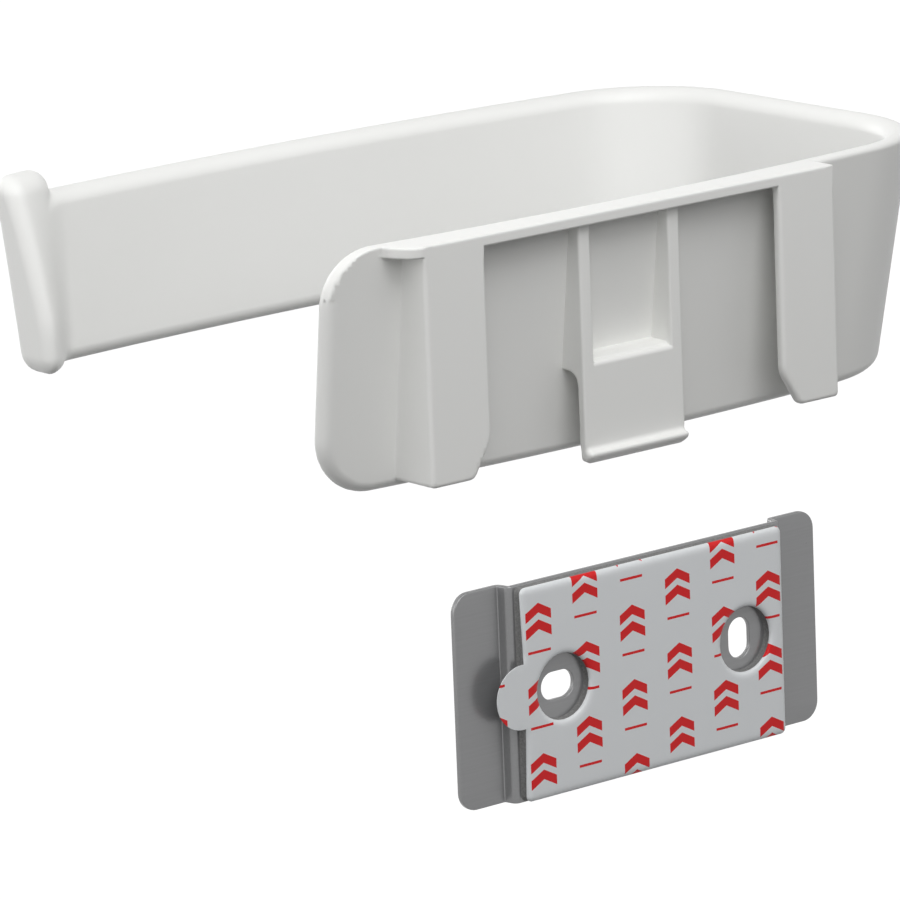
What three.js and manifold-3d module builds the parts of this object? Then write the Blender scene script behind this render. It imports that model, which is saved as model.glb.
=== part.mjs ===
// Wall-mounted toilet roll holder, in millimetres, +Z up, with the holder lifted off its wall plate.
// +Y points at the wall and -Y into the room. The roll goes on over the free end of the arm, at +X.
// The origin is the middle of the release liner's face, which lies on the wall plate's sticky tape.
import * as THREE from "three";
import { mergeVertices } from "three/addons/utils/BufferGeometryUtils.js";
import Module from "manifold-3d";

// Holder: one drafted wall, bent into a J in plan, that runs from the arm's free end to the panel's end.
const armReach = 64.5; // middle of the rails to the arm's free end
const endReach = 80.2; // middle of the rails to the outside of the rounded end
const panelReach = 57.2; // middle of the rails to the panel's end
const holderDepth = 86.9; // back of the panel to the front of the arm, in the middle, at the rim
const armBow = 600; // radius of the arm's gentle bow
const panelBow = 600; // radius of the panel's gentle bow
const frontCorner = 22.5; // outside radius between arm and end
const backCorner = 24.5; // outside radius between end and panel
const armWall = 5;
const panelWall = 3.5;
const armHeight = 28.1;
const panelHeight = 40.1;
const wallDraft = 7; // degrees that every wall leans in on its way down
const edgeRound = 3.2; // most that a wall's edges are rounded
const panelTopCorner = 8;
const panelBottomCorner = 10;

// Lip on the arm's free end, which keeps the roll on.
const lipLength = 10.8;
const lipRise = 3.8; // above the rim
const lipDrop = 0.6; // below the arm
const lipRiseRun = 4.2; // length over which it rises and drops
const lipSwellTop = 1.3; // towards the wall, at its top
const lipSwellBottom = 6; // towards the wall, at its bottom
const lipSwellLength = 8.7; // end of the swell, from the lip's end
const lipSwellRun = 6.5; // length over which it swells
const lipCorner = 2.6; // rounding of the lip's end
const lipSlant = 0.55; // lean of the lip's end, as a share of the walls' lean

// Rails on the panel's back, joined by a ledge along the rim.
const railGap = 61.9;
const railWidth = 12.25;
const railWall = 1.8; // the rail's back wall, which holds the plate's wing
const railSide = 2; // the rail's side wall, which stands on the panel
const railDrop = 38.8; // rim to the rail's bottom
const railChamferWide = 3.6;
const railChamferTall = 5.8;
const ledgeThickness = 1.9;
const ledgeStub = 4.2; // the ledge runs on past the rail at the panel's end
const panelStandoff = 3.4; // rails' back plane to the panel's back, in the middle, at the rim
const rootDepth = 1.2; // how far rails and ribs run into the panel's wall

// Latch: two ribs, a shelf between them, and a spring finger that hangs from the shelf.
const ribWidth = 2.4;
const shelfDrop = 24.5; // rim to the shelf's top
const shelfThickness = 1.6;
const shelfSlope = 0.9; // the shelf's rise towards the panel
const fingerWidth = 21.2; // over both ribs too
const fingerWall = 1.6;
const fingerRoot = 2; // fillet between shelf and finger
const fingerGap = 0.3; // parting between the root and the free finger
const hookBite = 0.85; // how far the hook reaches under the wall plate
const hookTall = 2.4;
const hookTop = 0.4; // height of the hook's sloping top
const hookNose = 0.6; // height of its flat nose

// Wall plate: pressed steel, with a flat middle and a wing at each side set back into the rails.
const plateHeight = 35.8;
const plateWall = 1;
const joggleDepth = 2.2;
const joggleBend = 0.7; // radius of its two bends, at the middle of the sheet
const joggleAngle = 77; // steepness of the step between them, in degrees
const wingCorner = 3.2;
const slotLong = 6.8;
const slotWide = 4.6;
const slotSpacing = 39;

// Foam tape and its release liner, on the plate's middle.
const tapeThickness = 1.6;
const tapeCorner = 1;
const tapeSideMargin = 0.25; // plate's flat middle to the tape's end
const tapeEdgeMargin = 0.3; // plate's long edge to the tape's edge
const cutoutMargin = 2.1; // round a slot
const linerThickness = 0.2;
const tabRadius = 5.3;
const tabReach = 5.8; // tape's edge to the tip of the pull tab

// Fits, and how far the holder is lifted off its plate.
const joggleClearance = 1.3; // between the plate's step and the rail's inner edge
const wingEndClearance = 2.75; // between a wing's end and the rail's side wall
const wingClearance = 0.3; // between a wing and the rail's back wall
const seatClearance = 0.3; // between the plate's top and the ledge, once the holder is on
const latchClearance = 0.5; // between the plate's middle and the ribs
const hookClearance = 0.6; // between the plate's bottom and the hook, once the holder is on
const lift = 55.1;

const WHITE_PLASTIC = new THREE.MeshStandardMaterial({ color: 0xe4e4e1, roughness: 0.42, metalness: 0 });
const STEEL = new THREE.MeshStandardMaterial({ color: 0x9b9b9c, roughness: 0.34, metalness: 1 });
const FOAM = new THREE.MeshStandardMaterial({ color: 0x8f8f8f, roughness: 0.9, metalness: 0 });
const LINER = new THREE.MeshStandardMaterial({ color: 0xc9cdcf, roughness: 0.38, metalness: 0 });

// Depth is measured from the rails' back plane into the room; y() turns it into a Y coordinate.
const plateBack = railWall + wingClearance - joggleDepth;
const railPlaneY = plateBack - tapeThickness - linerThickness;
const y = (depth) => railPlaneY - depth;
const ledgeUnder = plateHeight / 2 + seatClearance + lift;
const rim = ledgeUnder + ledgeThickness;
const railOuter = railGap / 2 + railWidth;
const plateWidth = 2 * (railOuter - railSide - wingEndClearance);
const joggleTurn = THREE.MathUtils.degToRad(joggleAngle);
const joggleRise = joggleDepth - 2 * joggleBend * (1 - Math.cos(joggleTurn));
const joggleRun = 2 * joggleBend * Math.sin(joggleTurn) + joggleRise / Math.tan(joggleTurn);
const plateMiddle = railGap - 2 * (joggleRun + joggleClearance);
const latchInset = plateBack + plateWall + latchClearance;
const lean = Math.tan(THREE.MathUtils.degToRad(wallDraft));
const armFront = panelStandoff + holderDepth;
const outward = (radius, sideways) => radius - Math.sqrt(radius ** 2 - sideways ** 2);
const panelBack = (x, z) => panelStandoff + outward(panelBow, x) + lean * (rim - z);

const wasm = await Module();
wasm.setup();

// Closed geometry to a solid that can be joined and cut, and back.
function solid(geometry) {
  const bare = geometry.clone();
  bare.deleteAttribute("normal");
  bare.deleteAttribute("uv");
  const merged = mergeVertices(bare, 1e-4);
  const vertProperties = new Float32Array(merged.getAttribute("position").array);
  const triVerts = new Uint32Array(merged.index.array);
  return new wasm.Manifold(new wasm.Mesh({ numProp: 3, vertProperties, triVerts }));
}

function geometryOf(made) {
  const { vertProperties, triVerts } = made.getMesh();
  const geometry = new THREE.BufferGeometry();
  geometry.setAttribute("position", new THREE.BufferAttribute(vertProperties, 3));
  geometry.setIndex(new THREE.BufferAttribute(triVerts, 1));
  geometry.computeVertexNormals();
  return geometry;
}

// Prisms from an outline: along X from (depth, z), along Y from (x, z), and along Z from (x, depth).
function extrude(shape, depth) {
  return new THREE.ExtrudeGeometry(shape, { depth, bevelEnabled: false, curveSegments: 12 });
}

function prismX(shape, x0, x1) {
  const toPlace = new THREE.Matrix4().set(0, 0, -1, x1, -1, 0, 0, railPlaneY, 0, 1, 0, 0, 0, 0, 0, 1);
  return extrude(shape, x1 - x0).applyMatrix4(toPlace);
}

function prismY(shape, depth0, depth1) {
  const toPlace = new THREE.Matrix4().set(1, 0, 0, 0, 0, 0, -1, y(depth0), 0, 1, 0, 0, 0, 0, 0, 1);
  return extrude(shape, depth1 - depth0).applyMatrix4(toPlace);
}

function prismZ(shape, z0, z1) {
  const toPlace = new THREE.Matrix4().set(1, 0, 0, 0, 0, -1, 0, railPlaneY, 0, 0, -1, z1, 0, 0, 0, 1);
  return extrude(shape, z1 - z0).applyMatrix4(toPlace);
}

const polygon = (points) => new THREE.Shape(points.map(([a, b]) => new THREE.Vector2(a, b)));

function roundedRectangle(width, height, radius, z = 0) {
  const [a, b] = [width / 2 - radius, height / 2 - radius];
  const shape = new THREE.Shape();
  shape.absarc(a, z + b, radius, 0, Math.PI / 2);
  shape.absarc(-a, z + b, radius, Math.PI / 2, Math.PI);
  shape.absarc(-a, z - b, radius, Math.PI, 1.5 * Math.PI);
  shape.absarc(a, z - b, radius, 1.5 * Math.PI, 2 * Math.PI);
  return shape;
}

// Outside of the wall at the rim, in plan, as (x, depth): arm, corner, end, corner and panel in turn.
const turn = Math.PI;
const armCentre = { x: 0, d: armFront - armBow };
const panelCentre = { x: 0, d: panelStandoff + panelBow };
const frontX = frontCorner - endReach;
const frontCentre = { x: frontX, d: armCentre.d + Math.sqrt((armBow - frontCorner) ** 2 - frontX ** 2) };
const backX = backCorner - endReach;
const backCentre = { x: backX, d: panelCentre.d - Math.sqrt((panelBow - backCorner) ** 2 - backX ** 2) };
const armFrom = turn / 2 - Math.asin(armReach / armBow);
const armTo = Math.atan2(frontCentre.d - armCentre.d, frontCentre.x - armCentre.x);
const panelFrom = 2 * turn + Math.atan2(backCentre.d - panelCentre.d, backCentre.x - panelCentre.x);
const panelTo = 1.5 * turn + Math.asin(panelReach / panelBow);

// A place on that line: out is square to the wall, and in is the way that the wall leans on its way down.
// A corner keeps its radius from top to bottom, so it leans in from both of its walls at once.
const onArc = (centre, radius, angle, inX, inD) => ({
  x: centre.x + radius * Math.cos(angle),
  d: centre.d + radius * Math.sin(angle),
  outX: Math.cos(angle),
  outD: Math.sin(angle),
  inX,
  inD,
});
const onArm = (angle, inX) => onArc(armCentre, armBow, angle, inX, -1);
const onPanel = (angle, inX) => onArc(panelCentre, panelBow, angle, inX, 1);
const steps = (count) => Array.from({ length: count }, (_, i) => (i + 1) / count);
const between = (from, to, share) => from + (to - from) * share;
const smooth = (share) => THREE.MathUtils.smoothstep(share, 0, 1);
// Height lost by a corner of the given radius, at a distance from the end that it rounds.
const rounded = (radius, distance) => (distance < radius ? outward(radius, radius - distance) : 0);

// A cut through the wall, with round edges at top and bottom. swell is what it gains towards the wall at its top and
// at its bottom, and inset is what an end's rounding takes off each side.
const ROUND_STEPS = 8;
function wallRing(place, { wall, swell = [0, 0], top, bottom, inset = 0 }) {
  const ring = [];
  for (const [edge, from, gain] of [[top, 0, swell[0]], [bottom, turn, swell[1]]]) {
    const middle = -(wall + gain) / 2;
    const half = (wall + gain) / 2 - inset;
    const radius = Math.min(half, edgeRound);
    const end = edge - radius * Math.cos(from);
    for (let i = 0; i <= ROUND_STEPS; i++) {
      const angle = from + (turn * i) / ROUND_STEPS;
      const side = i === ROUND_STEPS / 2 ? 0 : Math.sign(Math.cos(angle));
      const z = end + radius * Math.sin(angle);
      const out = middle + radius * Math.cos(angle) + (half - radius) * side;
      const inward = lean * (rim - z);
      const x = place.x + place.outX * out + place.inX * inward;
      const depth = place.d + place.outD * out + place.inD * inward;
      ring.push(new THREE.Vector3(x, y(depth), z));
    }
  }
  return ring;
}

// Skin through a row of rings, closed by a fan at each end.
function loft(rings) {
  const count = rings[0].length;
  const position = rings.flat().flatMap((p) => p.toArray());
  const index = [];
  rings.slice(1).forEach((_, r) => {
    for (let i = 0; i < count; i++) {
      const [a, b] = [r * count + i, r * count + ((i + 1) % count)];
      index.push(a, b, a + count, b, b + count, a + count);
    }
  });
  const last = (rings.length - 1) * count;
  for (let i = 1; i < count - 1; i++) {
    index.push(0, i + 1, i);
    index.push(last, last + i, last + i + 1);
  }
  const geometry = new THREE.BufferGeometry();
  geometry.setAttribute("position", new THREE.Float32BufferAttribute(position, 3));
  geometry.setIndex(index);
  return geometry;
}

// Lip: it rises, drops and swells over its length, swells more towards its bottom, and its end is rounded both ways.
const leastEnd = 0.04; // share of an end's rounding where the skin is closed
function lipRings(bottom) {
  const endPlaces = [leastEnd, 0.1, 0.25, 0.5, 1].map((share) => share * lipCorner);
  const places = [...endPlaces, ...steps(10).map((share) => between(lipCorner, lipLength, share))];
  return places.map((distance) => {
    const raised = smooth((lipLength - distance) / lipRiseRun);
    const swollen = smooth((lipSwellLength - distance) / lipSwellRun);
    const cut = rounded(lipCorner, distance);
    const slant = between(-lipSlant, lipSlant, distance / lipLength);
    return wallRing(onArm(armFrom + distance / armBow, slant), {
      wall: armWall,
      swell: [lipSwellTop * swollen, lipSwellBottom * swollen],
      top: rim + lipRise * raised - cut,
      bottom: bottom - lipDrop * raised + cut,
      inset: cut,
    });
  });
}

// Panel's end, with two round corners and a round edge.
function panelEndRings(cornerFrom, bottom) {
  const edge = panelWall / 2;
  const edgePlaces = [0.55, 0.25, 0.1, leastEnd].map((share) => share * edge);
  const places = [...steps(7).map((share) => between(cornerFrom, edge, share)), ...edgePlaces];
  return places.map((distance) =>
    wallRing(onPanel(panelTo - distance / panelBow, 0), {
      wall: panelWall,
      top: rim - rounded(panelTopCorner, distance),
      bottom: bottom + rounded(panelBottomCorner, distance),
      inset: rounded(edge, distance),
    }),
  );
}

function wallRings() {
  const armBottom = rim - armHeight;
  const panelBottom = rim - panelHeight;
  const arm = { wall: armWall, top: rim, bottom: armBottom };
  const panel = { wall: panelWall, top: rim, bottom: panelBottom };
  const armStart = armFrom + lipLength / armBow;
  const cornerFrom = Math.max(panelTopCorner, panelBottomCorner);
  const panelStop = panelTo - cornerFrom / panelBow;
  const armPlace = (share) => onArm(between(armStart, armTo, share), between(lipSlant, 1, share));
  const frontPlace = (share) => onArc(frontCentre, frontCorner, between(armTo, turn, share), 1, -1);
  const endPlace = (share) => ({
    x: -endReach,
    d: between(frontCentre.d, backCentre.d, share),
    outX: -1,
    outD: 0,
    inX: 1,
    inD: between(-1, 1, share),
  });
  const backPlace = (share) => onArc(backCentre, backCorner, between(turn, panelFrom, share), 1, 1);
  const panelPlace = (share) => onPanel(between(panelFrom, panelStop, share), 1 - share);
  // The end's bottom edge sweeps down from the arm's height to the panel's.
  // The back corner thins the wall.
  const sweep = (share) => ({ ...arm, bottom: between(armBottom, panelBottom, smooth(share)) });
  const thinning = (share) => ({ ...panel, wall: between(armWall, panelWall, smooth(share)) });
  return [
    ...lipRings(armBottom),
    ...steps(10).map((share) => wallRing(armPlace(share), arm)),
    ...steps(10).map((share) => wallRing(frontPlace(share), arm)),
    ...steps(10).map((share) => wallRing(endPlace(share), sweep(share))),
    ...steps(10).map((share) => wallRing(backPlace(share), thinning(share))),
    ...steps(8).map((share) => wallRing(panelPlace(share), panel)),
    ...panelEndRings(cornerFrom, panelBottom),
  ];
}

// Ledge: a flat flange along the rim, from the rails' back plane to the middle of the panel's wall.
function ledge() {
  const stub = railOuter + ledgeStub;
  const inside = (x) => panelBack(x, rim) + panelWall / 2;
  const shape = new THREE.Shape();
  shape.moveTo(-railOuter, 0);
  shape.lineTo(railOuter, 0);
  shape.quadraticCurveTo(stub, 0, stub, inside(stub));
  for (const share of steps(12)) {
    const x = between(stub, -railOuter, share);
    shape.lineTo(x, inside(x));
  }
  return prismZ(shape, ledgeUnder, rim);
}

// Rail: a back wall parallel to the wall, chamfered at its inner bottom corner, on a side wall.
function rail(side) {
  const inner = railGap / 2;
  const bottom = rim - railDrop;
  const back = [
    [inner, rim],
    [inner, bottom + railChamferTall],
    [inner + railChamferWide, bottom],
    [railOuter, bottom],
    [railOuter, rim],
  ].map(([x, z]) => [side * x, z]);
  if (side < 0) back.reverse();
  const foot = (z) => panelBack(railOuter, z) + rootDepth;
  const standing = polygon([[0, rim], [0, bottom], [foot(bottom), bottom], [foot(rim), rim]]);
  const [x0, x1] = side > 0 ? [railOuter - railSide, railOuter] : [-railOuter, railSide - railOuter];
  return solid(prismY(polygon(back), 0, railWall)).add(solid(prismX(standing, x0, x1)));
}

// Ribs, shelf and the finger's root, which are part of the holder's moulding.
const shelfTop = rim - shelfDrop;
const shelfUnder = shelfTop - shelfThickness;
const rootBottom = shelfUnder - fingerRoot;
function latchRoot() {
  const foot = (z) => panelBack(fingerWidth / 2, z) + rootDepth;
  const top = rim - ledgeThickness / 2;
  const rib = polygon([
    [latchInset, top],
    [latchInset, shelfUnder],
    [foot(shelfUnder), shelfUnder],
    [foot(top), top],
  ]);
  const shelf = new THREE.Shape();
  shelf.moveTo(latchInset, shelfTop);
  shelf.lineTo(latchInset, rootBottom);
  shelf.lineTo(latchInset + fingerWall, rootBottom);
  shelf.absarc(latchInset + fingerWall + fingerRoot, rootBottom, fingerRoot, turn, turn / 2, true);
  shelf.lineTo(foot(shelfUnder), shelfUnder);
  shelf.lineTo(foot(shelfTop), shelfTop + shelfSlope);
  const outer = fingerWidth / 2;
  return solid(prismX(shelf, -outer, outer))
    .add(solid(prismX(rib, -outer, ribWidth - outer)))
    .add(solid(prismX(rib, outer - ribWidth, outer)));
}

// Spring finger: a flat tongue with a hook along its bottom that snaps under the wall plate.
function finger() {
  const top = rootBottom - fingerGap;
  const hookFrom = ledgeUnder - seatClearance - plateHeight - hookClearance;
  const bottom = hookFrom - hookTall;
  const front = latchInset + fingerWall;
  const tip = latchInset - latchClearance - hookBite;
  const outline = polygon([
    [latchInset, top],
    [latchInset, hookFrom],
    [tip, hookFrom - hookTop],
    [tip, hookFrom - hookTop - hookNose],
    [latchInset, bottom],
    [front, bottom],
    [front, top],
  ]);
  return prismX(outline, -fingerWidth / 2, fingerWidth / 2);
}

// Pressed plate: the section has a steep step with round bends at each side, and the wings' corners are rounded. away is
// a face's distance from the middle of the sheet.
function wallPlate() {
  const half = plateMiddle / 2;
  const depth = plateBack + plateWall / 2;
  const rightFace = (away) => [
    ...[0, ...steps(6)].map((share) => {
      const angle = joggleTurn * share;
      const radius = joggleBend - away;
      return [half + radius * Math.sin(angle), depth + joggleBend - radius * Math.cos(angle)];
    }),
    ...[0, ...steps(6)].map((share) => {
      const angle = joggleTurn * (1 - share);
      const radius = joggleBend + away;
      const outer = half + joggleRun;
      return [outer - radius * Math.sin(angle), depth + joggleDepth - joggleBend + radius * Math.cos(angle)];
    }),
    [plateWidth / 2, depth + joggleDepth + away],
  ];
  const face = (away) => {
    const right = rightFace(away);
    const left = right.map(([across, into]) => [-across, into]).reverse();
    return [...left, ...right];
  };
  const back = face(-plateWall / 2);
  const front = face(plateWall / 2).reverse();
  const sheet = solid(prismZ(polygon([...back, ...front]), -plateHeight / 2, plateHeight / 2));
  const [from, to] = [plateBack - plateWall, plateBack + joggleDepth + 2 * plateWall];
  const outline = solid(prismY(roundedRectangle(plateWidth, plateHeight, wingCorner), from, to));
  const slot = (x, wide, tall) => {
    const shape = roundedRectangle(wide, tall, Math.min(wide, tall) / 2 - 0.01);
    return solid(prismY(shape, from, to).translate(x, 0, 0));
  };
  return sheet
    .intersect(outline)
    .subtract(slot(slotSpacing / 2, slotLong, slotWide))
    .subtract(slot(-slotSpacing / 2, slotWide, slotLong));
}

// Tape and liner share one outline with two round cut-outs; the liner also has a pull tab.
const tapeWidth = plateMiddle - 2 * tapeSideMargin;
const tapeHeight = plateHeight - 2 * tapeEdgeMargin;
function taped(shape, depth, thickness) {
  const cutout = slotLong / 2 + cutoutMargin;
  for (const side of [-1, 1]) {
    const hole = new THREE.Path();
    hole.absarc((side * slotSpacing) / 2, 0, cutout, 0, 2 * turn, true);
    shape.holes.push(hole);
  }
  return prismY(shape, depth, depth + thickness);
}

function linerOutline() {
  const [a, b] = [tapeWidth / 2 - tapeCorner, tapeHeight / 2 - tapeCorner];
  const tabMiddle = tapeWidth / 2 + tabReach - tabRadius;
  const shape = new THREE.Shape();
  shape.absarc(-a, b, tapeCorner, turn / 2, turn);
  shape.absarc(-a, -b, tapeCorner, turn, 1.5 * turn);
  shape.absarc(a, -b, tapeCorner, 1.5 * turn, 2 * turn);
  shape.absarc(tabMiddle, 0, tabRadius, -turn / 2, turn / 2);
  shape.lineTo(tapeWidth / 2, tabRadius);
  shape.absarc(a, b, tapeCorner, 0, turn / 2);
  return shape;
}

function holderBody() {
  const wall = solid(loft(wallRings()));
  return wall.add(solid(ledge())).add(rail(1)).add(rail(-1)).add(latchRoot());
}

function foamTape() {
  const outline = roundedRectangle(tapeWidth, tapeHeight, tapeCorner);
  return taped(outline, plateBack - tapeThickness, tapeThickness);
}

function releaseLiner() {
  return taped(linerOutline(), plateBack - tapeThickness - linerThickness, linerThickness);
}

const pieces = [
  ["holder_body", geometryOf(holderBody()), WHITE_PLASTIC],
  ["latch_finger", finger(), WHITE_PLASTIC],
  ["wall_plate", geometryOf(wallPlate()), STEEL],
  ["foam_tape", foamTape(), FOAM],
  ["release_liner", releaseLiner(), LINER],
];

const group = new THREE.Group();
for (const [name, geometry, material] of pieces) {
  const mesh = new THREE.Mesh(geometry, material);
  mesh.name = name;
  group.add(mesh);
}

export default group;
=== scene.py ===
"""Toilet roll holder, lifted off its wall plate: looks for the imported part, in metres, in its frame."""
import math

import bpy
import numpy as np
from mathutils import Matrix, Vector
from mathutils.geometry import delaunay_2d_cdt


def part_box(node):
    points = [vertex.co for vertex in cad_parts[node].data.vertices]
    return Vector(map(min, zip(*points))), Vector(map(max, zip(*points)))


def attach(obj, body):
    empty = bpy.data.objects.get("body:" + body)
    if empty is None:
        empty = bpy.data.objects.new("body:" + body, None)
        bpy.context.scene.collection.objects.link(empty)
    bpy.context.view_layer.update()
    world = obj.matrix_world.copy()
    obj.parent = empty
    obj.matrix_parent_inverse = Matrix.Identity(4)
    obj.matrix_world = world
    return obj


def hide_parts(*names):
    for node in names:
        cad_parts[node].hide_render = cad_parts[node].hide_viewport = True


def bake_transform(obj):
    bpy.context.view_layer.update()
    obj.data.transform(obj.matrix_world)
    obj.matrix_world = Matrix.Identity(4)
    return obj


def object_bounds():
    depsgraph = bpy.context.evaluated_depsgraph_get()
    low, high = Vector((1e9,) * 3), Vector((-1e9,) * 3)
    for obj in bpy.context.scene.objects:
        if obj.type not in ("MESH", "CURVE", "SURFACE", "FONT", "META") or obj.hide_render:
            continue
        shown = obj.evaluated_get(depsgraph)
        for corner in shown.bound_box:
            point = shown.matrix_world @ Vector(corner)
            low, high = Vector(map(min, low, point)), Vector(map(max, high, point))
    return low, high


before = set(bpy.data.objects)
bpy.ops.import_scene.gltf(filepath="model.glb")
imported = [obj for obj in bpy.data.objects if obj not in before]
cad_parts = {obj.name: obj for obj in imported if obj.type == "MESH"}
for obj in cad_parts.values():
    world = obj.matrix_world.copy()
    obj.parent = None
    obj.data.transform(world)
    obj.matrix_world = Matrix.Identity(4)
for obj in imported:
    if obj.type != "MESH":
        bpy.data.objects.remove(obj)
cad_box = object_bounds()
MM = 0.001

# Camera
# A long lens from the wall side, a little above the rim, tipped by a few degrees.
camera_aim = Vector((0.04067, -0.00059, 0.04259))
camera_azimuth = math.radians(141.09)
camera_elevation = math.radians(13.25)
camera_roll = math.radians(-2.3)
camera_distance = 1.0156
towards_camera = Vector((
    math.sin(camera_azimuth) * math.cos(camera_elevation),
    -math.cos(camera_azimuth) * math.cos(camera_elevation),
    math.sin(camera_elevation),
))


def put_in_scene(name, data):
    """New object in the scene, at the origin."""
    made = bpy.data.objects.new(name, data)
    bpy.context.scene.collection.objects.link(made)
    return made


camera_data = bpy.data.cameras.new("camera")
camera_data.lens = 260
camera_data.sensor_width = 36
camera_data.clip_end = 20
camera = put_in_scene("camera", camera_data)
facing = (-towards_camera).to_track_quat("-Z", "Y").to_matrix() @ Matrix.Rotation(camera_roll, 3, "Z")
camera_place = camera_aim + towards_camera * camera_distance
camera.matrix_world = Matrix.Translation(camera_place) @ facing.to_4x4()
bpy.context.scene.camera = camera
bpy.context.scene.view_settings.view_transform = "Standard"

# Light
# A soft box over the holder and one beside the arm's free end, and four wide lamps farther off, one of them
# for the room side. The room is white where it shows, but gives little light.
light_aim = Vector((0.02, -0.05, 0.06))
soft_box_width = 0.3
for name, power, place in (("top_box", 0.5, (0.04, 0.09, 0.34)), ("side_box", 0.26, (0.29, -0.1, 0.11))):
    box_data = bpy.data.lights.new(name, "AREA")
    box_data.shape = "DISK"
    box_data.size = soft_box_width
    box_data.energy = power
    soft_box = put_in_scene(name, box_data)
    soft_box.location = place
    soft_box.rotation_mode = "QUATERNION"
    soft_box.rotation_quaternion = (light_aim - soft_box.location).to_track_quat("-Z", "Y")
for name, power, width, place in (
    ("left_lamp", 1.05, 50, (0.27, 0.73, 0.63)),
    ("broad_lamp", 0.85, 140, (0.7, -0.1, 0.7)),
    ("right_lamp", 0.25, 45, (-0.61, 0.61, 0.5)),
    ("front_lamp", 1.2, 40, (0.1, -0.98, 0.12)),
):
    lamp_data = bpy.data.lights.new(name, "SUN")
    lamp_data.energy = power
    lamp_data.angle = math.radians(width)
    lamp = put_in_scene(name, lamp_data)
    lamp.rotation_mode = "QUATERNION"
    lamp.rotation_quaternion = (-Vector(place)).to_track_quat("-Z", "Y")


def shown_rays(nodes, links):
    """1 for what the camera, a reflection or a see-through piece shows, 0 for what only lights the object."""
    rays = nodes.new("ShaderNodeLightPath")
    mirrored = nodes.new("ShaderNodeMath")
    mirrored.operation = "MAXIMUM"
    shown = nodes.new("ShaderNodeMath")
    shown.operation = "MAXIMUM"
    links.new(rays.outputs["Is Glossy Ray"], mirrored.inputs[0])
    links.new(rays.outputs["Is Transmission Ray"], mirrored.inputs[1])
    links.new(mirrored.outputs[0], shown.inputs[0])
    links.new(rays.outputs["Is Camera Ray"], shown.inputs[1])
    return shown.outputs[0]


world = bpy.data.worlds.new("pale_room")
world.use_nodes = True
bpy.context.scene.world = world
nodes, links = world.node_tree.nodes, world.node_tree.links
room_light = nodes["Background"]
room_light.inputs["Color"].default_value = (0.02, 0.02, 0.02, 1)
seen_room = nodes.new("ShaderNodeBackground")
seen_room.inputs["Color"].default_value = (1, 1, 1, 1)
room = nodes.new("ShaderNodeMixShader")
links.new(shown_rays(nodes, links), room.inputs["Fac"])
links.new(room_light.outputs[0], room.inputs[1])
links.new(seen_room.outputs[0], room.inputs[2])
links.new(room.outputs[0], nodes["World Output"].inputs["Surface"])

# Holder
# One injection moulding in white plastic: a leaning wall bent into a J, from the lip on the arm's free end
# to the panel's end, with a ledge along the rim and two L-shaped rails on the panel's back.
holder_low, holder_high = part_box("holder_body")
lip_rise = 3.8
lip_drop = 0.6
lip_length = 10.1
lip_drop_run = 3.5
lip_top_corner = 3.6
lip_foot_fillet = 1.2
lip_swell_top = 1.3
lip_swell_bottom = 5.4
lip_swell_length = 12.5
lip_swell_run = 11
lip_ease_back = 0.25
lip_ease_from = 0.72
lip_end_edge = 3
lip_end_run = 4
lip_corner = 3.2
lip_slant = 0.55
rail_plane = holder_high.y / MM
rim = holder_high.z / MM - lip_rise
arm_inset = 0.3
arm_reach = holder_high.x / MM - arm_inset
panel_reach = 56.9
panel_standoff = 3.4
holder_depth = 86.85
wall_bow = 600
front_corner = 22.5
back_corner = 24.5
arm_wall = 5
panel_wall = 3.5
arm_bottom = rim - 28.1
panel_bottom = rim - 40.1
lean = math.tan(math.radians(7))
end_inset = 0.05
end_reach = -holder_low.x / MM + lean * arm_wall / 2 - end_inset
panel_top_corner = 9
panel_bottom_corner = 10
flat_edge_stop = rim - 7.4
flat_edge_from = 38
crisp_edge = 0.35
outer_edge = 0.9
rail_inner = 61.9 / 2
rail_outer = rail_inner + 12.25
rail_wall = 1.8
rail_side = 2
rail_bottom = rim - 38.8
chamfer_wide = 3.6
chamfer_tall = 5.8
ledge_thickness = 1.9
ledge_stub = 4.2
root_depth = 1.2
rail_edge = 0.7
rail_edge_run = 3
rail_corner = 0.8
rail_foot_corner = 1.6
moulding_fillet = 0.4
least_fillet = 0.01
fillet_from = 0.3
fillet_run = 1.5


def eased(share):
    share = np.clip(share, 0, 1)
    return share * share * (3 - 2 * share)


def joined(a, b, fillet):
    """Distance to two bodies as one, with a fillet where they meet."""
    share = np.clip(0.5 + 0.5 * (b - a) / fillet, 0, 1)
    return b + (a - b) * share - fillet * share * (1 - share)


def common(a, b, rounding):
    """Distance to what two bodies share, with a rounded edge where they meet."""
    return -joined(-a, -b, rounding)


def round_edged(flat, across, radius):
    """Distance to a slab with rounded edges, from the distances to its outline and to its faces."""
    a = flat + radius
    b = across + radius
    return np.hypot(np.maximum(a, 0), np.maximum(b, 0)) + np.minimum(np.maximum(a, b), 0) - radius


def panel_back(x, z):
    return panel_standoff + wall_bow - np.sqrt(wall_bow ** 2 - x ** 2) + lean * (rim - z)


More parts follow.
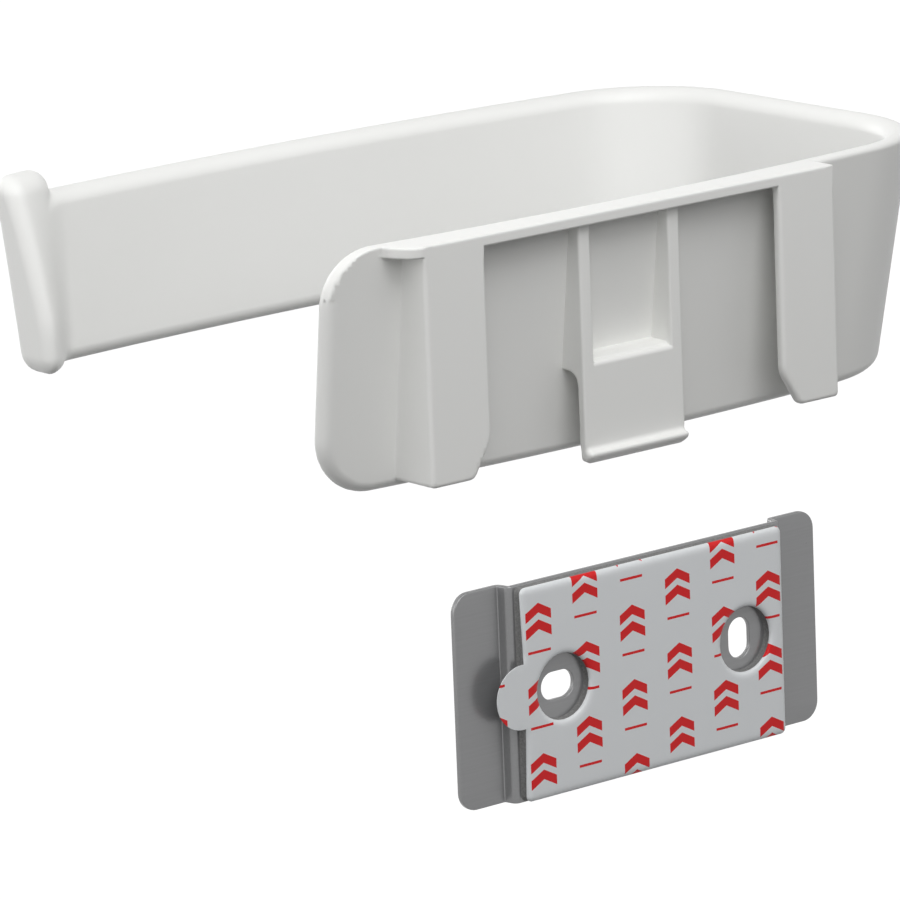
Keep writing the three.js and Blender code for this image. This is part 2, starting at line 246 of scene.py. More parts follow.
def wall_distance(x, d, z):
    inward = lean * (rim - z)
    arm_d = panel_standoff + holder_depth - wall_bow - inward
    panel_d = panel_standoff + wall_bow + inward
    front_x = front_corner - end_reach + inward
    back_x = back_corner - end_reach + inward
    front_d = arm_d + np.sqrt((wall_bow - front_corner) ** 2 - front_x ** 2)
    back_d = panel_d - np.sqrt((wall_bow - back_corner) ** 2 - back_x ** 2)
    on_arm = (d >= front_d) & (x >= front_x + (d - front_d) * front_x / (front_d - arm_d))
    in_front = (d >= front_d) & ~on_arm
    on_panel = (d <= back_d) & (x >= back_x + (d - back_d) * back_x / (back_d - panel_d))
    in_back = (d <= back_d) & ~on_panel
    stretches = [on_arm, in_front, on_panel, in_back]
    out = np.select(stretches, [
        np.hypot(x, d - arm_d) - wall_bow,
        np.hypot(x - front_x, d - front_d) - front_corner,
        np.hypot(x, d - panel_d) - wall_bow,
        np.hypot(x - back_x, d - back_d) - back_corner,
    ], -x - end_reach + inward)
    # Lip, measured from the arm's free end.
    from_end = arm_reach - x
    slant = np.interp(from_end, [0, lip_length, arm_reach + end_reach], [-lip_slant, lip_slant, 1])
    from_end = from_end + slant * inward
    lip_flat = round_edged(z - rim - lip_rise, from_end - lip_length, lip_top_corner)
    arm_top = joined(z - rim, lip_flat, lip_foot_fillet)
    dropped = lip_drop * eased((lip_length - from_end) / lip_drop_run)
    lowered = np.clip((rim + lip_rise - z) / (rim + lip_rise - arm_bottom), 0, 1)
    swollen = eased((lip_swell_length - from_end) / lip_swell_run)
    gain = np.sin(lowered * math.pi / 2)
    gain = gain - lip_ease_back * eased((lowered - lip_ease_from) / (1 - lip_ease_from))
    swollen = swollen * (lip_swell_top + (lip_swell_bottom - lip_swell_top) * gain)
    # The end's bottom sweeps down from the arm's to the panel's, and the back corner thins the wall.
    swept = np.clip((front_d - d) / (front_d - back_d), 0, 1)
    drop = arm_bottom - panel_bottom
    steepness = drop * 6 * swept * (1 - swept) / (front_d - back_d)
    turned = np.arctan2(back_d - d, back_x - x) / (math.pi / 2)
    panel_flat = [z - rim, panel_bottom - z]
    arm_flat = np.maximum(arm_top, arm_bottom - dropped - z)
    past_end = x - panel_reach
    flat = np.select(stretches, [
        round_edged(arm_flat, -from_end, lip_corner),
        np.maximum(z - rim, arm_bottom - z),
        np.where(
            z > (rim + panel_bottom) / 2,
            round_edged(panel_flat[0], past_end, panel_top_corner),
            round_edged(panel_flat[1], past_end, panel_bottom_corner),
        ),
        np.maximum(*panel_flat),
    ], np.maximum(z - rim, (arm_bottom - drop * eased(swept) - z) / np.sqrt(1 + steepness ** 2)))
    thick = np.select(stretches, [
        arm_wall + swollen,
        np.full_like(x, arm_wall),
        np.full_like(x, panel_wall),
        arm_wall + (panel_wall - arm_wall) * eased(turned),
    ], arm_wall)
    crisp = on_panel & (x > flat_edge_from) & (z > flat_edge_stop) & (out > -thick / 2)
    at_end = eased((lip_end_run - from_end) / lip_end_run)
    at_end = at_end * eased((rim + lip_rise / 2 - z) / lip_rise)
    edge = np.minimum(thick / 2, arm_wall / 2 + lip_swell_top / 2)
    edge = np.where(on_arm, edge + (lip_end_edge - edge) * at_end, edge)
    # The outer edge of the rim is tighter beside the right rail and eases out round the back corner.
    tight = np.select([on_panel & (x < -flat_edge_from), in_back], [1, eased(turned)], 0)
    tight = np.where((z > flat_edge_stop) & (out > -thick / 2), tight, 0)
    radius = np.where(crisp, crisp_edge, edge + (outer_edge - edge) * tight)
    return round_edged(flat, np.abs(out + thick / 2) - thick / 2, radius)


def ledge_distance(x, d, z):
    inside = panel_back(x, rim) + panel_wall / 2
    past = np.maximum(x - rail_outer, 0)
    stub = (np.hypot(past / ledge_stub, (inside - d) / inside) - 1) * ledge_stub
    flat = np.where(x > rail_outer, stub, round_edged(-d, -rail_outer - x, crisp_edge))
    flat = np.maximum(flat, d - inside)
    return round_edged(flat, np.abs(z - rim + ledge_thickness / 2) - ledge_thickness / 2, crisp_edge)


def rail_distance(x, d, z):
    x = np.abs(x)
    chamfer = (rail_inner + chamfer_wide - x) * chamfer_tall + (rail_bottom - z) * chamfer_wide
    chamfer = chamfer / math.hypot(chamfer_wide, chamfer_tall)
    outline = common(np.maximum(rail_inner - x, x - rail_outer), rail_bottom - z, rail_corner)
    outline = common(outline, chamfer, rail_corner)
    edge = crisp_edge + (rail_edge - crisp_edge) * eased((rim - ledge_thickness - z) / rail_edge_run)
    outline = round_edged(outline, z - rim, crisp_edge)
    back = round_edged(outline, np.abs(d - rail_wall / 2) - rail_wall / 2, edge)
    foot = panel_back(rail_outer, z) + root_depth
    standing = np.maximum(np.maximum(-d, d - foot), z - rim)
    standing = common(standing, rail_bottom - z, rail_foot_corner)
    side = round_edged(standing, np.abs(x - rail_outer + rail_side / 2) - rail_side / 2, edge)
    return np.minimum(back, side)


def holder_distance(x, y, z):
    d = rail_plane - y
    back = np.minimum(ledge_distance(x, d, z), rail_distance(x, d, z))
    fillet = least_fillet + moulding_fillet * eased((rim - z - fillet_from) / fillet_run)
    return joined(wall_distance(x, d, z), back, fillet)


def grid_ticks(low, high, step, fine_step=0.25, fine=()):
    """Places of a grid's planes along one axis, closer together within the fine stretches."""
    ticks = [low]
    while ticks[-1] < high:
        close = any(a <= ticks[-1] <= b for a, b in fine)
        ticks.append(ticks[-1] + (fine_step if close else step))
    return np.array(ticks)


def moulded(name, distance, ticks, draws=4, least_slope=0.2, slope_reach=0.04):
    """Closed mesh of the body whose distance is given, in millimetres: one point for each grid cell that the
    surface crosses, drawn onto the surface, and one face for each grid edge that it crosses."""
    most = min(np.diff(t).min() for t in ticks) / 2
    grid = np.meshgrid(*ticks, indexing="ij")
    value = distance(*grid)
    inside = value < 0
    corners = [(i, j, k) for i in (0, 1) for j in (0, 1) for k in (0, 1)]
    count = [len(t) - 1 for t in ticks]

    def at_corner(array, corner):
        return array[tuple(slice(c, c + n) for c, n in zip(corner, count))]

    filled = sum(at_corner(inside, c).astype(np.int8) for c in corners)
    crossed = (filled > 0) & (filled < 8)
    number = np.full(crossed.shape, -1)
    number[crossed] = np.arange(crossed.sum())
    total = np.zeros((crossed.sum(), 3))
    hits = np.zeros(crossed.sum())
    for a in corners:
        for axis in range(3):
            if a[axis]:
                continue
            b = tuple(1 if n == axis else c for n, c in enumerate(a))
            va = at_corner(value, a)[crossed]
            vb = at_corner(value, b)[crossed]
            cut = (va < 0) != (vb < 0)
            share = np.where(cut, va / np.where(cut, va - vb, 1), 0)
            for n in range(3):
                pa = at_corner(grid[n], a)[crossed]
                pb = at_corner(grid[n], b)[crossed]
                total[:, n] += np.where(cut, pa + share * (pb - pa), 0)
            hits += cut
    points = total / hits[:, None]

    def slope(p):
        rises = []
        for step in np.eye(3) * slope_reach:
            rises.append((distance(*(p + step).T) - distance(*(p - step).T)) / (2 * slope_reach))
        return np.stack(rises, axis=1)

    for _ in range(draws):
        g = slope(points)
        length = np.maximum((g ** 2).sum(axis=1), least_slope)
        shift = distance(*points.T) / length
        points = points - np.clip(shift, -most, most)[:, None] * g
    faces = []
    for axis in range(3):
        u, v = (axis + 1) % 3, (axis + 2) % 3
        first = [slice(1, -1)] * 3
        first[axis] = slice(0, -1)
        second = list(first)
        second[axis] = slice(1, None)
        leaving = inside[tuple(first)] & ~inside[tuple(second)]
        entering = ~inside[tuple(first)] & inside[tuple(second)]
        for mask, order in ((leaving, (0, 1, 2, 3)), (entering, (3, 2, 1, 0))):
            cell = np.argwhere(mask)
            cell[:, u] += 1
            cell[:, v] += 1
            ring = []
            for du, dv in ((-1, -1), (0, -1), (0, 0), (-1, 0)):
                c = cell.copy()
                c[:, u] += du
                c[:, v] += dv
                ring.append(number[c[:, 0], c[:, 1], c[:, 2]])
            faces.append(np.stack([ring[n] for n in order], axis=1))
    faces = np.concatenate(faces)
    mesh = bpy.data.meshes.new(name)
    mesh.from_pydata((points * MM).tolist(), [], faces.tolist())
    mesh.shade_smooth()
    normals = slope(points)
    normals /= np.linalg.norm(normals, axis=1, keepdims=True)
    mesh.normals_split_custom_set_from_vertices(normals.tolist())
    return put_in_scene(name, mesh)


def new_finish(name):
    """New material, with its nodes, its links and its main shader."""
    made = bpy.data.materials.new(name)
    made.use_nodes = True
    tree = made.node_tree
    return made, tree.nodes, tree.links, tree.nodes["Principled BSDF"]


def new_noise(nodes, scale, detail):
    noise = nodes.new("ShaderNodeTexNoise")
    noise.inputs["Scale"].default_value = scale
    noise.inputs["Detail"].default_value = detail
    return noise


def new_tint(nodes, first, last, places=(0, 1)):
    tint = nodes.new("ShaderNodeValToRGB")
    for stop, colour, place in zip(tint.color_ramp.elements, (first, last), places):
        stop.position = place
        stop.color = (*colour, 1)
    return tint


def new_gloss(nodes, low, high):
    gloss = nodes.new("ShaderNodeMapRange")
    gloss.inputs["To Min"].default_value = low
    gloss.inputs["To Max"].default_value = high
    return gloss


def new_bump(nodes, strength, distance):
    bump = nodes.new("ShaderNodeBump")
    bump.inputs["Strength"].default_value = strength
    bump.inputs["Distance"].default_value = distance
    return bump


def white_plastic():
    """Satin moulded plastic: a trace of flow in its colour and gloss, and a fine even grain."""
    made, nodes, links, shader = new_finish("white_plastic")
    place = nodes.new("ShaderNodeTexCoord")
    flow = new_noise(nodes, scale=22, detail=3)
    tint = new_tint(nodes, (0.835, 0.837, 0.817), (0.865, 0.867, 0.851))
    gloss = new_gloss(nodes, 0.36, 0.46)
    grain = new_noise(nodes, scale=2600, detail=2)
    bump = new_bump(nodes, strength=0.12, distance=0.00004)
    links.new(place.outputs["Object"], flow.inputs["Vector"])
    links.new(place.outputs["Object"], grain.inputs["Vector"])
    links.new(flow.outputs["Fac"], tint.inputs["Fac"])
    links.new(flow.outputs["Fac"], gloss.inputs["Value"])
    links.new(grain.outputs["Fac"], bump.inputs["Height"])
    links.new(tint.outputs["Color"], shader.inputs["Base Color"])
    links.new(gloss.outputs["Result"], shader.inputs["Roughness"])
    links.new(bump.outputs["Normal"], shader.inputs["Normal"])
    shader.inputs["Specular IOR Level"].default_value = 0.35
    return made


plastic = white_plastic()
margin = 1.2
across_fine = []
for side in (-1, 1):
    for middle, reach in ((rail_inner, 1), (rail_outer - rail_side / 2, 1.7)):
        across_fine.append((side * middle - reach, side * middle + reach))
depth_fine = [(rail_plane - rail_wall - 0.8, rail_plane + 0.3)]
height_fine = [(rail_bottom - 0.6, rail_bottom + 1.2), (rim - ledge_thickness - 0.8, rim + 0.3)]
arm_front = rail_plane - panel_standoff - holder_depth
holder_ticks = [
    grid_ticks(-end_reach - margin, arm_reach + margin, 0.74, fine=across_fine),
    grid_ticks(arm_front - margin, rail_plane + margin, 0.63, fine=depth_fine),
    grid_ticks(panel_bottom - margin, rim + lip_rise + margin, 0.68, fine=height_fine),
]
holder = moulded("holder_shell", holder_distance, holder_ticks)
holder.data.materials.append(plastic)
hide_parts("holder_body")
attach(holder, "holder")

# Latch
# Two ribs, a shelf and a spring finger with a hook along its bottom, moulded in one with the holder. The
# finger bends at its root, so the latch is a mesh of its own that runs into the panel and the ledge.
finger_low, finger_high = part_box("latch_finger")
finger_half = finger_high.x / MM
hook_tip = rail_plane - finger_high.y / MM
finger_wall = 1.6
finger_front = rail_plane - finger_low.y / MM
latch_back = finger_front - finger_wall
finger_bottom = finger_low.z / MM
rib_width = 2.4
shelf_top = rim - 24.5
shelf_thickness = 1.6
shelf_slope = 0.9
shelf_edge = 0.8
finger_overlap = 1
root_fillet = 2.8
least_root_fillet = 0.05
root_fillet_from = 0.4
root_fillet_run = 0.8
hook_tall = 2.4
hook_top = 0.4
hook_nose = 0.6
finger_corner = 1.3
latch_edge = 0.4
hook_edge = 0.75
hook_edge_above = 1
hook_edge_run = 1.5
hook_ridge = 0.4
hook_tip_edge = 0.5
hook_fillet = 0.6


def latch_distance(x, y, z):
    d = rail_plane - y
    x = np.abs(x)
    foot = panel_back(finger_half, z) + root_depth
    under = shelf_top - shelf_thickness
    shelf_z = shelf_top + shelf_slope * (d - latch_back) / (foot - latch_back)
    shelf = np.maximum(common(latch_back - d, z - shelf_z, shelf_edge), np.maximum(d - foot, under - z))
    tongue = np.maximum(latch_back - d, d - finger_front)
    tongue = np.maximum(tongue, np.maximum(finger_bottom - z, z - shelf_top + finger_overlap))
    inner = eased((d - latch_back - root_fillet_from) / root_fillet_run)
    fillet = least_root_fillet + root_fillet * inner
    profile = joined(tongue, shelf, fillet)
    hook_from = finger_bottom + hook_tall
    reach = latch_back - hook_tip
    over = ((z - hook_from) * reach + (latch_back - d) * hook_top) / math.hypot(reach, hook_top)
    fall = hook_tall - hook_top - hook_nose
    below = ((finger_bottom - z) * reach + (latch_back - d) * fall) / math.hypot(reach, fall)
    hook = common(common(over, below, hook_ridge), hook_tip - d, hook_tip_edge)
    hook = np.maximum(hook, d - latch_back - finger_wall / 2)
    profile = joined(profile, hook, hook_fillet)
    at_hook = eased((hook_from + hook_edge_above - z) / hook_edge_run)
    edge = latch_edge + (hook_edge - latch_edge) * at_hook
    outline = round_edged(x - finger_half, finger_bottom - z, finger_corner)
    body = round_edged(profile, outline, edge)
    rib_flat = np.maximum(np.maximum(latch_back - d, d - foot), under - z)
    rib_flat = np.maximum(rib_flat, z - rim + ledge_thickness / 2)
    rib = round_edged(rib_flat, np.abs(x - finger_half + rib_width / 2) - rib_width / 2, latch_edge)
    return np.minimum(body, rib)


latch_ticks = [
    grid_ticks(-finger_half - 1, finger_half + 1, 0.35),
    grid_ticks(rail_plane - 12, rail_plane + 1, 0.25),
    grid_ticks(finger_bottom - 1, rim, 0.3),
]
latch = moulded("latch", latch_distance, latch_ticks)
latch.data.materials.append(plastic)
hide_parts("latch_finger")
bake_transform(latch)

# Wall plate
# Pressed sheet steel, satin: a flat middle, a wing at each side set back by a steep step for the rails, and
# two punched screw slots, one lying and one upright. It is cut as a flat blank, then bent.
plate_low, plate_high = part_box("wall_plate")
plate_half_wide = plate_high.x / MM
plate_half_tall = plate_high.z / MM
plate_face = plate_high.y / MM
plate_wall = 1
plate_step = (plate_high.y - plate_low.y) / MM - plate_wall
bend_radius = 0.7
bend_parts = 6
bend_turn = math.radians(77)
bend_length = bend_radius * bend_turn
bend_drop = bend_radius * (1 - math.cos(bend_turn))
slope_length = (plate_step - 2 * bend_drop) / math.sin(bend_turn)
step_run = 2 * bend_radius * math.sin(bend_turn) + slope_length * math.cos(bend_turn)
rail_play = 1.3
plate_middle_half = rail_inner - rail_play - step_run
blank_half_wide = plate_half_wide - step_run + 2 * bend_length + slope_length
wing_corner = 3.2
punched_edge = 0.22
slot_half_long = 3.4
slot_half_wide = 2.3
slot_flat = 0.01
slot_place = 19.5
spare_inset = 1.2


def rounded_loop(half_wide, half_tall, radius, centre=(0, 0), stops=(), turns=8):
    """Rounded rectangle, anticlockwise from its right side, with extra points on its top and bottom."""
    loop = []
    for sx, sz, first in ((1, 1, 0), (-1, 1, 90), (-1, -1, 180), (1, -1, 270)):
        for n in range(turns + 1):
            angle = math.radians(first + 90 * n / turns)
            loop.append((
                centre[0] + sx * (half_wide - radius) + radius * math.cos(angle),
                centre[1] + sz * (half_tall - radius) + radius * math.sin(angle),
            ))
        if (sx, sz) == (1, 1):
            loop += [(x, centre[1] + half_tall) for x in sorted(stops, reverse=True)]
        if (sx, sz) == (-1, -1):
            loop += [(x, centre[1] - half_tall) for x in sorted(stops)]
    return [p for p, before in zip(loop, loop[-1:] + loop[:-1]) if math.dist(p, before) > 1e-6]


def within(points, loops):
    """Which points lie inside an outline with holes."""
    points = np.asarray(points)
    odd = np.zeros(len(points), bool)
    for loop in loops:
        a = np.asarray(loop)
        b = np.roll(a, -1, axis=0)
        for (ax, az), (bx, bz) in zip(a, b):
            if az == bz:
                continue
            spans = (az > points[:, 1]) != (bz > points[:, 1])
            odd ^= spans & (points[:, 0] < ax + (points[:, 1] - az) * (bx - ax) / (bz - az))
    return odd


def sheet_mesh(name, loops_at, profile, spare, shaped):
    """Closed sheet with holes, in millimetres. profile runs round the edge from the wall-side face to the
    other one as (inset, offset); spare points fill the faces; shaped places (x, z, offset) in space."""
    flat = []
    faces = []
    rings = []
    for inset, offset in profile:
        rings.append([])
        for loop in loops_at(inset):
            rings[-1].append(range(len(flat), len(flat) + len(loop)))
            flat += [(x, z, offset) for x, z in loop]
    for near, far in zip(rings, rings[1:]):
        for a, b in zip(near, far):
            for n in range(len(a)):
                m = (n + 1) % len(a)
                faces.append((a[n], a[m], b[m], b[n]))
    for ring, (inset, offset), front in ((rings[0], profile[0], True), (rings[-1], profile[-1], False)):
        loops = loops_at(inset)
        known = [n for loop in ring for n in loop]
        edges = []
        for loop in ring:
            start = known.index(loop[0])
            edges += [(start + n, start + (n + 1) % len(loop)) for n in range(len(loop))]
        inner = [p for p, ok in zip(spare, within(spare, loops)) if ok]
        first = len(flat)
        flat += [(x, z, offset) for x, z in inner]
        known += range(first, len(flat))
        flat_points = [Vector(flat[n][:2]) for n in known]
        points, _, cells, origin, _, _ = delaunay_2d_cdt(flat_points, edges, [], 0, 1e-6)
        middles = np.array([np.mean([points[n] for n in c], axis=0) for c in cells])
        for cell, ok in zip(cells, within(middles, loops)):
            if not ok:
                continue
            corners = [known[origin[n][0]] for n in cell]
            a, b, c = (Vector(flat[n][:2]) for n in corners[:3])
            turned = (b - a).cross(c - a) > 0
            faces.append(corners if turned == (not front) else corners[::-1])
    mesh = bpy.data.meshes.new(name)
    mesh.from_pydata([Vector(shaped(*p)) * MM for p in flat], [], faces)
    mesh.validate()
    mesh.shade_smooth()
    return put_in_scene(name, mesh)


bend_stops = []
for bend_start in (plate_middle_half, plate_middle_half + bend_length + slope_length):
    for n in range(bend_parts + 1):
        along = bend_start + bend_length * n / bend_parts
        bend_stops += [along, -along]


def plate_loops(inset):
    half_wide = blank_half_wide - inset
    outer = rounded_loop(half_wide, plate_half_tall - inset, wing_corner - inset, stops=bend_stops)
    slot_long = slot_half_long + inset
    slot_wide = slot_half_wide + inset
    lying = rounded_loop(slot_long, slot_wide, slot_wide - slot_flat, (slot_place, 0))
    upright = rounded_loop(slot_wide, slot_long, slot_wide - slot_flat, (-slot_place, 0))
    return [outer, lying[::-1], upright[::-1]]


def plate_shape(along, z, offset):
    """Place of a point of the flat blank once both steps are bent into it."""
    left = abs(along) - plate_middle_half
    first = min(max(left, 0), bend_length)
    slope = min(max(left - bend_length, 0), slope_length)
    second = min(max(left - bend_length - slope_length, 0), bend_length)
    beyond = max(left - 2 * bend_length - slope_length, 0)
    steep = (first - second) / bend_radius
    x = min(abs(along), plate_middle_half) + slope * math.cos(bend_turn) + beyond
    drop = slope * math.sin(bend_turn)
    if second:
        x += bend_radius * (2 * math.sin(bend_turn) - math.sin(steep))
        drop += bend_drop + bend_radius * (math.cos(steep) - math.cos(bend_turn))
    else:
        x += bend_radius * math.sin(steep)
        drop += bend_radius * (1 - math.cos(steep))
    away = offset + plate_wall / 2
    x += away * math.sin(steep)
    return (math.copysign(x, along), plate_face - plate_wall / 2 - drop + away * math.cos(steep), z)


edge_turn = []
for angle in np.linspace(0, math.pi / 2, 4):
    edge_turn.append((punched_edge * (1 - math.sin(angle)), punched_edge * (1 - math.cos(angle))))
plate_profile = [(i, -o) for i, o in edge_turn] + [(i, o - plate_wall) for i, o in reversed(edge_turn)]
spare_rows = np.linspace(-plate_half_tall + spare_inset, plate_half_tall - spare_inset, 24)
plate_spare = [(x, z) for x in bend_stops for z in spare_rows]
plate = sheet_mesh("wall_plate_steel", plate_loops, plate_profile, plate_spare, plate_shape)
plate.data.set_sharp_from_angle(angle=math.radians(50))


def satin_steel():
    """Plain cold-rolled steel: long faint rolling lines, cloudy gloss, and no paint."""
    made, nodes, links, shader = new_finish("satin_steel")
    shader.inputs["Metallic"].default_value = 0.45
    place = nodes.new("ShaderNodeTexCoord")
    drawn = nodes.new("ShaderNodeMapping")
    drawn.inputs["Scale"].default_value = (60, 2500, 2500)
    lines = new_noise(nodes, scale=1, detail=3)
    clouds = new_noise(nodes, scale=90, detail=2)
    tint = new_tint(nodes, (0.234, 0.235, 0.238), (0.248, 0.249, 0.253), (0.3, 0.7))
    gloss = new_gloss(nodes, 0.25, 0.33)
    bump = new_bump(nodes, strength=0.08, distance=0.00001)
    links.new(place.outputs["Object"], drawn.inputs["Vector"])
    links.new(place.outputs["Object"], clouds.inputs["Vector"])
    links.new(drawn.outputs["Vector"], lines.inputs["Vector"])
    links.new(lines.outputs["Fac"], tint.inputs["Fac"])
    links.new(clouds.outputs["Fac"], gloss.inputs["Value"])
    links.new(lines.outputs["Fac"], bump.inputs["Height"])
    links.new(tint.outputs["Color"], shader.inputs["Base Color"])
    links.new(gloss.outputs["Result"], shader.inputs["Roughness"])
    links.new(bump.outputs["Normal"], shader.inputs["Normal"])
    return made


plate.data.materials.append(satin_steel())
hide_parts("wall_plate")
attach(plate, "plate")

# Foam tape
# Grey closed-cell foam, sticky on both faces, die-cut with a round hole about each slot. Its cut sides draw
# in a little and its wall-side edges are pressed round under the liner.
tape_low, tape_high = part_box("foam_tape")
tape_half_wide = tape_high.x / MM
tape_half_tall = tape_high.z / MM
tape_face = tape_high.y / MM
tape_thick = (tape_high.y - tape_low.y) / MM
tape_corner = 1
hole_radius = 5.5
pressed_run = 1.1
pressed_drop = 0.5
# Insets of the cut sides and their shares of the thickness.
cut_sides = ((0.1, 0.55), (0.08, 0.75), (-0.12, 1))


def hole_loops(inset):
    radius = hole_radius + inset
    return [rounded_loop(radius, radius, radius, (side * slot_place, 0))[::-1] for side in (1, -1)]


def tape_loops(inset):
    outer = rounded_loop(tape_half_wide - inset, tape_half_tall - inset, tape_corner)
    return [outer] + hole_loops(inset)


def tape_shape(x, z, offset):
    return (x, tape_face + offset, z)


tape_profile = []
for angle in np.linspace(0, math.pi / 2, 6):
    tape_profile.append((pressed_run * (1 - math.sin(angle)), -pressed_drop * (1 - math.cos(angle))))
tape_profile += [(inset, -share * tape_thick) for inset, share in cut_sides]
tape = sheet_mesh("foam_tape_pad", tape_loops, tape_profile, [(0, 0)], tape_shape)
tape.data.set_sharp_from_angle(angle=math.radians(60))


def tape_foam():
    """Closed-cell foam: mid grey, dull, with fine cut cells."""
    made, nodes, links, shader = new_finish("tape_foam")
    place = nodes.new("ShaderNodeTexCoord")
    cells = nodes.new("ShaderNodeTexVoronoi")
    cells.inputs["Scale"].default_value = 3200
    tint = new_tint(nodes, (0.145, 0.145, 0.144), (0.235, 0.235, 0.232))
    bump = new_bump(nodes, strength=0.4, distance=0.00008)
    links.new(place.outputs["Object"], cells.inputs["Vector"])
    links.new(cells.outputs["Distance"], tint.inputs["Fac"])
    links.new(cells.outputs["Distance"], bump.inputs["Height"])
    links.new(tint.outputs["Color"], shader.inputs["Base Color"])
    links.new(bump.outputs["Normal"], shader.inputs["Normal"])
    shader.inputs["Roughness"].default_value = 0.85
    return made


tape.data.materials.append(tape_foam())
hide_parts("foam_tape")
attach(tape, "plate")

# Release liner
# Thin grey film on the tape's wall side, die-cut with it and left with a half-round pull tab. It is pressed
# down along its edges and about the holes, and carries a plain red print in staggered columns.
liner_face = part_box("release_liner")[1].y / MM
liner_thick = 0.16
tab_radius = 5.3
tab_reach = 5.8
tab_turns = 32
tab_ease_past = 1
tab_ease_run = 1.5
pressed_rings = (0.12, 0.3, 0.55, 0.85, 1.2, 1.8)
ring_pitch = 0.9


def liner_loops(inset):
    outer = rounded_loop(tape_half_wide - inset, tape_half_tall - inset, tape_corner)
    neck = tape_half_wide - inset
    bulge = tape_half_wide + tab_reach - tab_radius
    radius = tab_radius - inset
    tab = []
    for n in range(tab_turns + 1):
        angle = -math.pi / 2 + math.pi * n / tab_turns
        tab.append((bulge + radius * math.cos(angle), radius * math.sin(angle)))
    tab = [(neck, tab[0][1])] + tab + [(neck, tab[-1][1])]
    return [outer[-1:] + tab + outer[:-1]] + hole_loops(inset)


def liner_shape(x, z, offset):
    a = abs(x) - tape_half_wide + tape_corner
    b = abs(z) - tape_half_tall + tape_corner
    edge = math.hypot(max(a, 0), max(b, 0)) + min(max(a, b), 0) - tape_corner
    hole = hole_radius - min(math.hypot(x - slot_place, z), math.hypot(x + slot_place, z))
    on_tab = float(eased((tab_radius + tab_ease_past - abs(z)) / tab_ease_run)) if x > 0 else 0
    edge = edge - (edge + pressed_run) * on_tab if edge > -pressed_run else edge
    inside = min(max(-max(edge, hole) / pressed_run, 0), 1)
    drop = pressed_drop * (1 - math.sqrt(1 - (1 - inside) ** 2))
    return (x, liner_face - drop + offset, z)


liner_spare = []
for inset in pressed_rings:
    for loop in tape_loops(inset):
        a = np.asarray(loop)
        b = np.roll(a, -1, axis=0)
        for p, q in zip(a, b):
            count = max(1, int(np.linalg.norm(q - p) / ring_pitch))
            liner_spare += [tuple(p + (q - p) * n / count) for n in range(count)]
liner_profile = [(0, 0), (0, -liner_thick)]
liner = sheet_mesh("release_liner_film", liner_loops, liner_profile, liner_spare, liner_shape)
liner.data.set_sharp_from_angle(angle=math.radians(60))


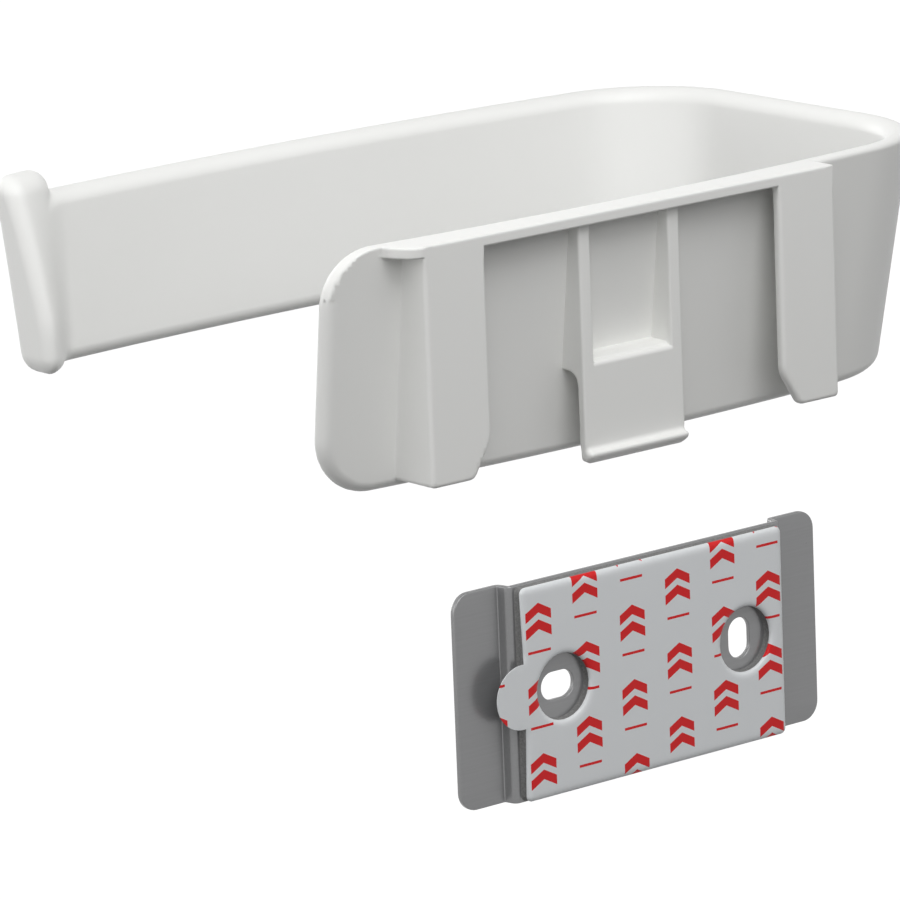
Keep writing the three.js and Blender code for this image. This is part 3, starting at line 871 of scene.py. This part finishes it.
def printed_film():
    """Smooth film, cool grey, with a red print: pairs of chevrons and a thin bar, column by column."""
    made, nodes, links, shader = new_finish("printed_film")

    def calc(operation, *terms):
        node = nodes.new("ShaderNodeMath")
        node.operation = operation
        for socket, term in zip(node.inputs, terms):
            if isinstance(term, (int, float)):
                socket.default_value = term
            else:
                links.new(term, socket)
        return node.outputs[0]

    place = nodes.new("ShaderNodeTexCoord")
    split = nodes.new("ShaderNodeSeparateXYZ")
    links.new(place.outputs["Object"], split.inputs[0])
    # Pitches in metres, the rest in shares of a pitch.
    column_pitch = 0.0098
    row_pitch = 0.0124
    chevron_slope = 0.42
    chevron_half = 0.27
    chevron_thick = 0.065
    chevron_heights = (0.3, 0.08)
    bar_height = -0.28
    bar_half = 0.24
    bar_thick = 0.018
    across = calc("DIVIDE", split.outputs["X"], column_pitch)
    column = calc("FLOOR", across)
    a = calc("ABSOLUTE", calc("SUBTRACT", calc("SUBTRACT", across, column), 0.5))
    shift = calc("MULTIPLY", calc("FLOORED_MODULO", column, 3), 1 / 3)
    up = calc("ADD", calc("DIVIDE", split.outputs["Z"], row_pitch), shift)
    b = calc("SUBTRACT", calc("FRACT", up), 0.5)
    leaning = calc("ADD", b, calc("MULTIPLY", a, chevron_slope))
    upper, lower = (calc("COMPARE", leaning, height, chevron_thick) for height in chevron_heights)
    chevrons = calc("MULTIPLY", calc("MAXIMUM", upper, lower), calc("LESS_THAN", a, chevron_half))
    bar = calc("MULTIPLY", calc("COMPARE", b, bar_height, bar_thick), calc("LESS_THAN", a, bar_half))
    inked = calc("MAXIMUM", chevrons, bar)
    paint = nodes.new("ShaderNodeMix")
    paint.data_type = "RGBA"
    paint.inputs["A"].default_value = (0.79, 0.81, 0.825, 1)
    paint.inputs["B"].default_value = (0.74, 0.014, 0.016, 1)
    links.new(inked, paint.inputs["Factor"])
    waves = new_noise(nodes, scale=160, detail=1)
    bump = new_bump(nodes, strength=0.12, distance=0.0003)
    links.new(place.outputs["Object"], waves.inputs["Vector"])
    links.new(waves.outputs["Fac"], bump.inputs["Height"])
    links.new(bump.outputs["Normal"], shader.inputs["Normal"])
    links.new(paint.outputs["Result"], shader.inputs["Base Color"])
    shader.inputs["Roughness"].default_value = 0.28
    shader.inputs["Specular IOR Level"].default_value = 0.22
    return made


liner.data.materials.append(printed_film())
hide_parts("release_liner")
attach(liner, "liner")

# Floor
# A plain white floor well below the part, which hangs in the air as it does on a wall. It shows white with
# the part's shadow, and throws little light back up.
floor_drop = 0.09
floor_reach = 8
floor_z = cad_box[0].z - floor_drop
floor_mesh = bpy.data.meshes.new("floor")
floor_mesh.from_pydata(
    [(x * floor_reach, y * floor_reach, floor_z) for x, y in ((-1, -1), (1, -1), (1, 1), (-1, 1))],
    [],
    [(0, 1, 2, 3)],
)
floor = put_in_scene("floor", floor_mesh)
floor_paint, nodes, links, lit = new_finish("floor_paint")
lit.inputs["Base Color"].default_value = (0.12, 0.12, 0.12, 1)
lit.inputs["Roughness"].default_value = 0.9
glow = nodes.new("ShaderNodeEmission")
glow.inputs["Strength"].default_value = 0.93
shown_floor = nodes.new("ShaderNodeAddShader")
ground = nodes.new("ShaderNodeMixShader")
links.new(lit.outputs[0], shown_floor.inputs[0])
links.new(glow.outputs[0], shown_floor.inputs[1])
links.new(shown_rays(nodes, links), ground.inputs["Fac"])
links.new(lit.outputs[0], ground.inputs[1])
links.new(shown_floor.outputs[0], ground.inputs[2])
links.new(ground.outputs[0], nodes["Material Output"].inputs["Surface"])
floor_mesh.materials.append(floor_paint)
